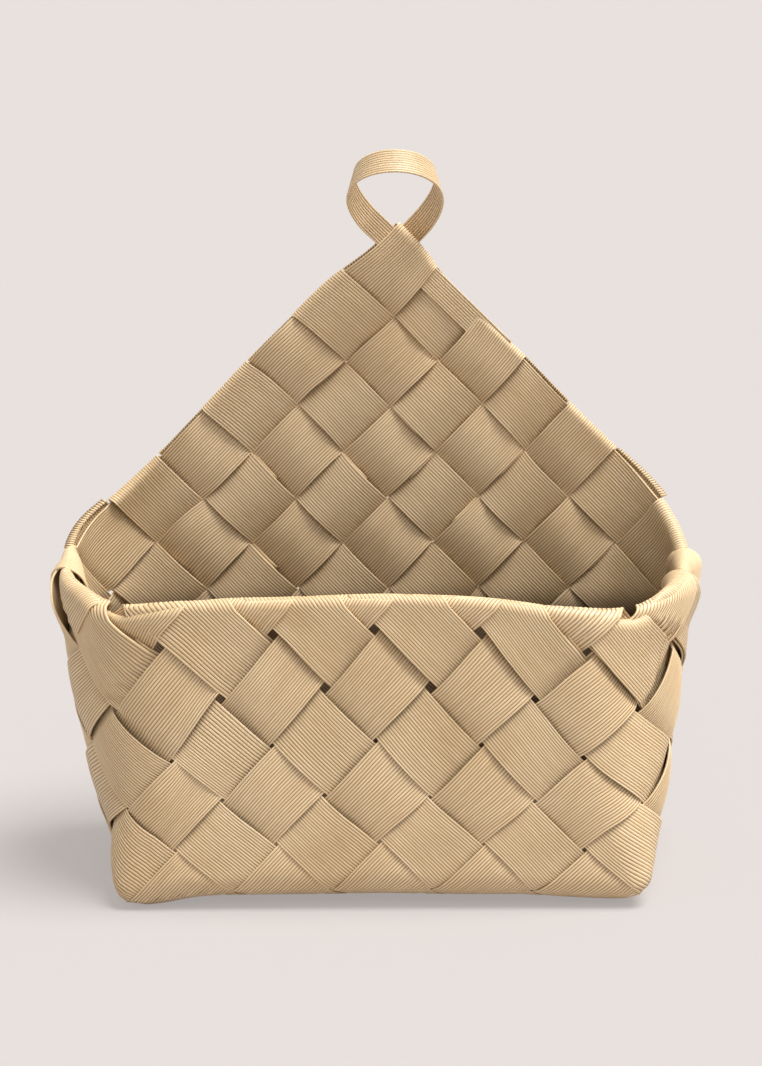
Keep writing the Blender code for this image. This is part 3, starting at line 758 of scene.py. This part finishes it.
def bow_of(tails, along, on_wall, u, v):
    """How far the band bows in a crossing: most in the back, little on the floor, none on the rim."""
    behind = smooth_step(BACK_BOW_COUNT - np.abs(round_gap(u, BACK_MIDDLE)))
    bow = FRONT_BOW + (BACK_BOW - FRONT_BOW) * behind
    wall_share = np.where(on_wall, smooth_step(v / BOW_EASE_COUNT), 0.0)
    bow = bow * (FLOOR_BOW_SHARE + (1 - FLOOR_BOW_SHARE) * wall_share)
    for tail in tails:
        if tail.rim:
            near = tail.way * (along - tail.end) > -NEAR_RIM_COUNT
            flat = smooth_step(np.abs(v - WALL_COUNT - rim_lift(u) / PERIOD) / RIM_FLAT_COUNT)
            bow = np.where(near & on_wall, bow * flat, bow)
    return bow


def over_rim_fold(tail, along, bow, rise, u, v, height, home):
    """The band over its fold on the rim: its place up the wall, height, way home and rise there.

    It climbs to the rim's height, turns over a half circle, and comes down in the lane of its weave.
    For that it moves along the rim by twice the rim's lift before it reaches the top.
    """
    close = tail.way * (along - tail.end) > -ROLL_FROM_COUNT
    lift = rim_lift(u)
    beyond = (v - WALL_COUNT) * PERIOD - lift
    radius = np.maximum(tail.radius(u - rise * 2 * lift / PERIOD), LEAST_RADIUS)
    moved = 2 * lift * smooth_step(1 + beyond / (radius + HOME_REACH))
    outer = lane_height(tail.heights, along - tail.way * math.sqrt(2.0) * moved / PITCH, bow)
    back, turned = rolled(beyond, radius, height, outer, 0.0)
    height = np.where(close, turned, height)
    v = np.where(close & (beyond > -radius), WALL_COUNT + (lift + back) / PERIOD, v)
    home = np.where(close, -rise * moved, home)
    rise = np.where(close & (beyond > 0), -rise, rise)
    return v, height, home, rise


def over_slope_fold(tail, along, path, bow, height):
    """Height of the band over its fold on a sloping edge of the back."""
    beyond = (along - tail.fold) * tail.way * PITCH
    outer = lane_height(tail.heights, path, bow)
    if tail.wraps:
        middle = (height + outer) / 2 - FOLD_LEAN
    else:
        middle = np.where(beyond > 0, outer - FOLD_RADIUS, height + FOLD_RADIUS)
    turned = rolled(beyond, tail.radius(beyond), height, outer, middle)[1]
    return np.where(beyond > -2 * FOLD_EASE, turned, height)


def band_grid(lane, name, layers, across):
    """Middle surface of a band: rows of points, the coordinate along it unrolled, and its painted shade
    share.

    A point is the skin's point on the lane plus the height times the outward way. Past a fold the
    coordinate along runs on, and the band lies on the outer face.
    """
    low, high = ends_of(lane)
    run = {step: layers.height(lane.key(step), (name, "run", 0)) for step in range(low, high + 1)}
    tails = [Tail(name, lane, layers, low, -1), Tail(name, lane, layers, high, 1)]
    rows = rows_along(tails[0].stop, tails[1].stop, [tail.fold for tail in tails])
    along = slanted_rows(lane, tails, rows, across)
    path, chart = turned_path(tails, rows, along)
    sideways = places_across(name, lane, tails, along, path, chart, across)
    on_wall, first, second = lane.spot(path, sideways, chart)
    bow = bow_of(tails, along, on_wall, first, second)
    height = lane_height(run, path, bow)
    rise = np.sign(np.gradient(first, axis=0) * np.gradient(second, axis=0))
    home = np.zeros(path.shape)
    for tail in tails:
        if tail.rim:
            second, height, home, rise = over_rim_fold(tail, along, bow, rise, first, second, height, home)
        else:
            height = over_slope_fold(tail, along, path, bow, height)
    first = first + home / PERIOD
    right = slip(rise, first, second) / PERIOD / math.sqrt(2.0) * np.where(on_wall, 1.0, 0.0)
    points = place(on_wall, first + right, second - rise * right)
    points = points + outward_way(on_wall, first, second) * height[..., None]
    # Share of painted shade: full on the floor and on the walls below the first level, none above the
    # second
    shallow = smooth_step((second - DEEP_SHADE_LEVELS[0]) / (DEEP_SHADE_LEVELS[1] - DEEP_SHADE_LEVELS[0]))
    return points, along * PITCH, np.where(on_wall, 1 - shallow, 1.0)


# Turning a middle surface into a ribbed band

def rib_profile(count, half):
    """Places across a band, its half thickness there, and the place counted in ribs.

    Each rib is half an ellipse, sqrt(1 - (2 t - 1)^2), and both edges are cut through a rib.
    """
    ribs = np.concatenate([number + np.array(RIB_PHASES) for number in range(count)] + [[count]])
    ribs = np.clip(ribs, RIB_CUT, count - RIB_CUT)[1:-1]
    round_share = np.sqrt(np.maximum(1 - (2 * (ribs % 1) - 1) ** 2, 0.0))
    thick = BAND_THICKNESS / 2 - RIB_DEPTH * (1 - round_share)
    return (ribs / count * 2 - 1) * half, thick, ribs


def inward_share(one, two):
    """1 where the second of two faces is the nearer to the basket's hollow, else 0."""
    hollow = np.array([0.0, 0.0, HOLLOW_HEIGHT])
    return (np.linalg.norm(two - hollow, axis=-1) < np.linalg.norm(one - hollow, axis=-1)) * 1.0


def ribbed_mesh(name, points, along, deep, ribs, thick):
    """A closed band around a grid of points: outer face, inner face and the edges between them.

    Each face is the grid moved along its normal by the half thickness. The attribute "depth" is the
    share of painted shade on the inner face, by how deep in the basket it lies.
    """
    rows, columns = points.shape[:2]
    normal = np.cross(np.gradient(points, axis=0), np.gradient(points, axis=1))
    normal = normal / np.maximum(np.linalg.norm(normal, axis=2, keepdims=True), LEAST_LENGTH)
    outer = points + normal * thick[None, :, None]
    inner = points - normal * thick[None, :, None]
    ring = np.concatenate([outer, inner[:, ::-1]], axis=1)
    width = ring.shape[1]
    row, column = np.meshgrid(np.arange(rows - 1), np.arange(width), indexing="ij")
    after = (column + 1) % width
    sides = np.stack([row * width + column, row * width + after, (row + 1) * width + after,
                      (row + 1) * width + column], axis=-1).reshape(-1, 4)
    cell = np.arange(columns - 1)
    cap = np.stack([cell, cell + 1, width - 2 - cell, width - 1 - cell], axis=-1)
    faces = np.concatenate([sides, cap[:, ::-1], cap + (rows - 1) * width])

    mesh = bpy.data.meshes.new(name)
    mesh.vertices.add(rows * width)
    mesh.vertices.foreach_set("co", ring.ravel())
    mesh.loops.add(faces.size)
    mesh.loops.foreach_set("vertex_index", faces.ravel())
    mesh.polygons.add(len(faces))
    mesh.polygons.foreach_set("loop_start", np.arange(0, faces.size, 4))
    mesh.update(calc_edges=True)

    uv_u = np.repeat(along[:, columns // 2], width)
    uv_v = np.tile(np.concatenate([ribs, ribs[::-1]]), rows)
    layer = mesh.uv_layers.new(name="ribs")
    layer.data.foreach_set("uv", np.stack([uv_u[faces.ravel()], uv_v[faces.ravel()]], axis=1).ravel())
    # The painted shade goes only on the face nearer the basket's hollow
    toward_inside = inward_share(outer, inner)
    depth = np.concatenate([deep * (1 - toward_inside), (deep * toward_inside)[:, ::-1]], axis=1)
    attribute = mesh.attributes.new("depth", "FLOAT", "POINT")
    attribute.data.foreach_set("value", depth.ravel())
    mesh.polygons.foreach_set("use_smooth", np.ones(len(faces), bool))
    mesh.validate()
    return mesh


# The hanging loop

def cone_spot(along, sideways):
    """Place on the loop's cone, from its tip, of a point of the straight band unrolled.

    A distance r and an angle a on the flat band become r and a / ratio round the cone's axis. Past the
    crossing the band leaves the cone and goes on flat.
    """
    ratio = LOOP_CROSS_ANGLE / math.pi
    half_angle = math.asin(ratio)
    distance = np.hypot(along, LOOP_REACH + sideways)
    angle = np.arctan2(along, LOOP_REACH + sideways)
    round_axis = np.clip(angle / ratio, -math.pi, math.pi)
    past = np.sign(angle) * np.maximum(np.abs(angle) - LOOP_CROSS_ANGLE, 0.0)
    lean, rise = math.sin(half_angle), math.cos(half_angle)
    x = lean * np.sin(round_axis) - np.sin(past)
    y = -rise * lean - lean * rise * np.cos(round_axis)
    z = -rise * rise + lean * lean * np.cos(round_axis)
    flat = np.abs(angle) > LOOP_CROSS_ANGLE
    y = np.where(flat, 0.0, y)
    z = np.where(flat, -np.cos(past), z)
    return np.stack([x, y, z], axis=-1) * distance[..., None]


def leg_height(leg, layers, distance):
    """Height of one leg of the loop over the crossings that it lies in, from the peak down."""
    name, lane, tip, way, ranks = leg
    steps = [tip - way * count for count in range(len(ranks))]
    table = {step: layers.height(lane.key(step), ("loop", name)) for step in steps}
    along = tip - way * (distance / PITCH / (1 + RIM_STRETCH_SHARE) - LOOP_SIDE_SHARE)
    return lane_height(table, along, BACK_BOW)


def loop_grid(legs, layers, across):
    """Middle surface of the loop: a cone between its two legs, which lie in the back wall."""
    cross_v = np.array([WALL_COUNT + PEAK_HALF_COUNT - LOOP_SIDE_SHARE])
    crossing = place(np.array([True]), np.array([BACK_MIDDLE]), cross_v)
    tip = crossing[0] + np.array([0.0, 0.0, LOOP_REACH / math.cos(LOOP_CROSS_ANGLE)])
    cross_along = LOOP_REACH * math.tan(LOOP_CROSS_ANGLE)
    ends = [(LOOP_SIDE_SHARE + len(leg[-1]) - 1) * PITCH * (1 + RIM_STRETCH_SHARE) for leg in legs]
    along = np.arange(-cross_along - ends[0], cross_along + ends[1], LOOP_ROW_STEP)
    low = leg_height(legs[0], layers, -along - cross_along)
    high = leg_height(legs[1], layers, along - cross_along)
    leave = cross_along + (LOOP_SIDE_SHARE - HALF) * PITCH
    share = smooth_step((along + leave) / (2 * leave))
    height = low * (1 - share) + high * share
    grid_along = along[:, None] + 0 * across[None, :]
    points = cone_spot(grid_along, across[None, :] + 0 * grid_along)
    ease = smooth_step((leave - np.abs(along)) / LOOP_EASE)[:, None]
    points[..., 1] = points[..., 1] * ease + height[:, None]
    points[..., 0] *= 1 + (LOOP_WIDEN - 1) * ease
    return tip + points, grid_along


# Shader maths

class Socket:
    """A node's output. Sums, differences and products of it with numbers or sockets add Math nodes."""

    def __init__(self, nodes, output):
        self.nodes, self.output = nodes, output

    def maths(self, operation, *values):
        """A Math node's result for one or two values."""
        return self.nodes.add("ShaderNodeMath", {"operation": operation}, dict(enumerate(values)))

    def __add__(self, other):
        return self.maths("ADD", self, other)

    def __radd__(self, other):
        return self.maths("ADD", other, self)

    def __sub__(self, other):
        return self.maths("SUBTRACT", self, other)

    def __rsub__(self, other):
        return self.maths("SUBTRACT", other, self)

    def __mul__(self, other):
        return self.maths("MULTIPLY", self, other)

    def __rmul__(self, other):
        return self.maths("MULTIPLY", other, self)

    def __abs__(self):
        return self.maths("ABSOLUTE", self)

    def fraction(self):
        """What is over the whole number below."""
        return self.maths("FRACT", self)

    def larger(self, other):
        """The larger of the two."""
        return self.maths("MAXIMUM", self, other)

    def at(self, name):
        """Another output of the same node."""
        return Socket(self.nodes, self.output.node.outputs[name])

    def mapped(self, low, high, to_low=0.0, to_high=1.0):
        """The value moved from one range to another, and held within it."""
        return self.nodes.add("ShaderNodeMapRange", {}, {
            "Value": self, "From Min": low, "From Max": high, "To Min": to_low, "To Max": to_high})


class Nodes:
    """The nodes of one material or world."""

    def __init__(self, owner):
        owner.use_nodes = True
        self.tree = owner.node_tree

    def add(self, kind, settings, inputs):
        """First output of a node: its type, its settings, then the values or links of its sockets."""
        node = self.tree.nodes.new(kind)
        for name, value in settings.items():
            setattr(node, name, value)
        for name, value in inputs.items():
            self.feed(node.inputs[name], value)
        return Socket(self, node.outputs[0])

    def feed(self, slot, value):
        """Set a socket's own value, or link another node to it."""
        if isinstance(value, Socket):
            self.tree.links.new(value.output, slot)
        else:
            slot.default_value = value

    def noise(self, vector, scale, detail, rough):
        """Noise at a vector, by its scale, its detail and the share of its finer layers."""
        return self.add("ShaderNodeTexNoise", {}, {
            "Vector": vector, "Scale": scale, "Detail": detail, "Roughness": rough}).at("Fac")

    def mix(self, share, one, two):
        """Colour between two colours, by the share of the second."""
        return self.add("ShaderNodeMix", {"data_type": "RGBA"}, {0: share, 6: one, 7: two}).at(2)

    def seen(self):
        """1 for what the camera sees, also in a mirror or through glass, and 0 for what lights."""
        ray = self.add("ShaderNodeLightPath", {}, {})
        return ray.at("Is Camera Ray").larger(ray.at("Is Glossy Ray")).larger(ray.at("Is Transmission Ray"))


def paper_cord():
    """Spun paper cord glued side by side: light crests, grooves darkened by painted shade, fine streaks
    along the ribs, and painted shade on the inner faces deep in the basket.
    """
    material = bpy.data.materials.new("paper_cord")
    nodes = Nodes(material)
    shader = nodes.tree.nodes["Principled BSDF"]
    band = nodes.add("ShaderNodeUVMap", {"uv_map": "ribs"}, {})
    split = nodes.add("ShaderNodeSeparateXYZ", {}, {0: band})
    along, ribs = split.at("X"), split.at("Y")
    in_groove = abs(ribs.fraction() - 0.5).mapped(*GROOVE_PHASES)
    along_ribs = nodes.add("ShaderNodeCombineXYZ", {}, {"X": along * STREAKS_PER_METRE, "Y": ribs})
    piece = nodes.add("ShaderNodeTexCoord", {}, {}).at("Object")
    streaks = nodes.noise(along_ribs, *STREAKS).mapped(*STREAK_LEVELS, 0.0, STREAK_SHARE)
    clouds = nodes.noise(piece, *CLOUDS).mapped(*CLOUD_LEVELS, 0.0, CLOUD_SHARE)
    grain = nodes.noise(piece, *GRAIN)
    colour = nodes.mix(streaks + clouds, CORD_DARK, CORD_LIGHT)
    # Painted shade in the grooves between the ribs
    colour = nodes.mix(in_groove, colour, GROOVE_PAINTED_SHADE)
    # Painted shade on the inner faces deep in the basket
    depth = nodes.add("ShaderNodeAttribute", {"attribute_name": "depth"}, {}).at("Fac")
    colour = nodes.mix(depth * DEEP_SHADE_SHARE, colour, DEEP_PAINTED_SHADE)
    bump = nodes.add("ShaderNodeBump", {}, {
        "Strength": BUMP_STRENGTH, "Distance": BUMP_HEIGHT,
        "Height": grain * GRAIN_BUMP_SHARE - in_groove})
    nodes.feed(shader.inputs["Base Color"], colour)
    nodes.feed(shader.inputs["Roughness"], grain.mapped(*GRAIN_LEVELS, *CORD_ROUGHNESS))
    nodes.feed(shader.inputs["Specular IOR Level"], CORD_SHINE)
    nodes.feed(shader.inputs["Normal"], bump)
    return material


# Stage

def add_floor():
    """A wide matt floor that shows the background's colour where it is fully lit."""
    corners = [(-FLOOR_REACH, -FLOOR_REACH, 0.0), (FLOOR_REACH, -FLOOR_REACH, 0.0),
               (FLOOR_REACH, FLOOR_REACH, 0.0), (-FLOOR_REACH, FLOOR_REACH, 0.0)]
    mesh = bpy.data.meshes.new("floor")
    mesh.from_pydata(corners, [], [(0, 1, 2, 3)])
    plane = bpy.data.objects.new("floor", mesh)
    bpy.context.scene.collection.objects.link(plane)
    material = bpy.data.materials.new("floor")
    nodes = Nodes(material)
    shader = nodes.tree.nodes["Principled BSDF"]
    sun = (SUN_LIGHT * math.sin(SUN_HEIGHT) + FILL_LIGHT * math.sin(FILL_HEIGHT)) / math.pi
    lit = [WORLD_LIGHT * one + sun * two for one, two in zip(WORLD_COLOUR, SUN_COLOUR)]
    nodes.feed(shader.inputs["Base Color"], [value / part for value, part in zip(BACKGROUND, lit)] + [1.0])
    nodes.feed(shader.inputs["Roughness"], 1.0)
    nodes.feed(shader.inputs["Specular IOR Level"], 0.0)
    glow = nodes.add("ShaderNodeEmission", {}, {"Color": BACKGROUND + (1.0,), "Strength": 1.0})
    mix = nodes.add("ShaderNodeMixShader", {}, {
        "Fac": nodes.seen() * FLOOR_GLOW_SHARE, 1: Socket(nodes, shader.outputs[0]), 2: glow})
    nodes.feed(nodes.tree.nodes["Material Output"].inputs["Surface"], mix)
    mesh.materials.append(material)


def add_world():
    """An even soft light, behind which the camera sees the background's colour."""
    world = bpy.data.worlds.new("studio")
    bpy.context.scene.world = world
    nodes = Nodes(world)
    lights = nodes.tree.nodes["Background"]
    nodes.feed(lights.inputs["Color"], WORLD_COLOUR + (1.0,))
    nodes.feed(lights.inputs["Strength"], WORLD_LIGHT)
    shows = nodes.add("ShaderNodeBackground", {}, {"Color": BACKGROUND + (1.0,), "Strength": 1.0})
    mix = nodes.add("ShaderNodeMixShader", {}, {
        "Fac": nodes.seen(), 1: Socket(nodes, lights.outputs[0]), 2: shows})
    nodes.feed(nodes.tree.nodes["World Output"].inputs["Surface"], mix)


def add_sun(name, strength, turn, height, angle):
    """A broad soft lamp at a height over the floor, turned from the front towards the right."""
    light = bpy.data.lights.new(name, "SUN")
    light.energy = strength
    light.angle = angle
    light.color = SUN_COLOUR
    lamp = bpy.data.objects.new(name, light)
    bpy.context.scene.collection.objects.link(lamp)
    lamp.rotation_euler = (math.pi / 2 - height, 0.0, turn)


def add_camera():
    """The camera that the photograph was taken with, as far as the weave's points tell."""
    data = bpy.data.cameras.new("camera")
    data.sensor_fit = "HORIZONTAL"
    data.sensor_width = SENSOR
    data.lens = FOCAL_PIXELS / IMAGE_WIDTH * SENSOR
    data.clip_end = CAMERA_FAR
    camera = bpy.data.objects.new("camera", data)
    bpy.context.scene.collection.objects.link(camera)
    right, up, forward = camera_ways()
    matrix = np.eye(4)
    matrix[:3, 0], matrix[:3, 1], matrix[:3, 2], matrix[:3, 3] = right, up, -forward, CAMERA_PLACE
    camera.matrix_world = Matrix(matrix.tolist())
    bpy.context.scene.camera = camera


def main():
    add_world()
    add_floor()
    add_sun("key", SUN_LIGHT, SUN_TURN, SUN_HEIGHT, SUN_ANGLE)
    add_sun("fill", FILL_LIGHT, FILL_TURN, FILL_HEIGHT, FILL_ANGLE)
    add_camera()
    bpy.context.scene.view_settings.view_transform = "Standard"

    lanes = {}
    for number in range(FRONT_COUNT + SIDE_COUNT):
        lanes["falling_band_%d" % (number + 1)] = Lane(False, number + 0.5)
        lanes["rising_band_%d" % (number + 1)] = Lane(True, number + 0.5 - SIDE_COUNT)
    layers = fill_layers(lanes)
    right, left = lanes["falling_band_%d" % FRONT_COUNT], lanes["rising_band_%d" % (SIDE_COUNT + 1)]
    legs = [("right", right, ends_of(right)[1], 1, LOOP_RIGHT_RANKS),
            ("left", left, ends_of(left)[0], -1, LOOP_LEFT_RANKS)]
    for name, lane, tip, way, ranks in legs:
        for count, rank in enumerate(ranks):
            layers.add(lane.key(tip - way * count), ("loop", name), rank)

    grids = {}
    across, thick, ribs = rib_profile(RIB_COUNT, HALF)
    for name, lane in sorted(lanes.items()):
        points, along, deep = band_grid(lane, name, layers, across)
        grids[name] = points, along, deep, ribs, thick
    across, thick, ribs = rib_profile(LOOP_RIB_COUNT, LOOP_BAND_WIDTH / 2)
    points, along = loop_grid(legs, layers, across)
    grids["hanging_loop"] = points, along, 0 * along, ribs, thick

    cord = paper_cord()
    for name, (points, along, deep, ribs, thick) in grids.items():
        mesh = ribbed_mesh(name + "_weave", points + SHIFT, along, deep, ribs, thick)
        mesh.materials.append(cord)
        piece = bpy.data.objects.new(name + "_weave", mesh)
        bpy.context.scene.collection.objects.link(piece)
        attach(piece, "root")
        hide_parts(name)


main()
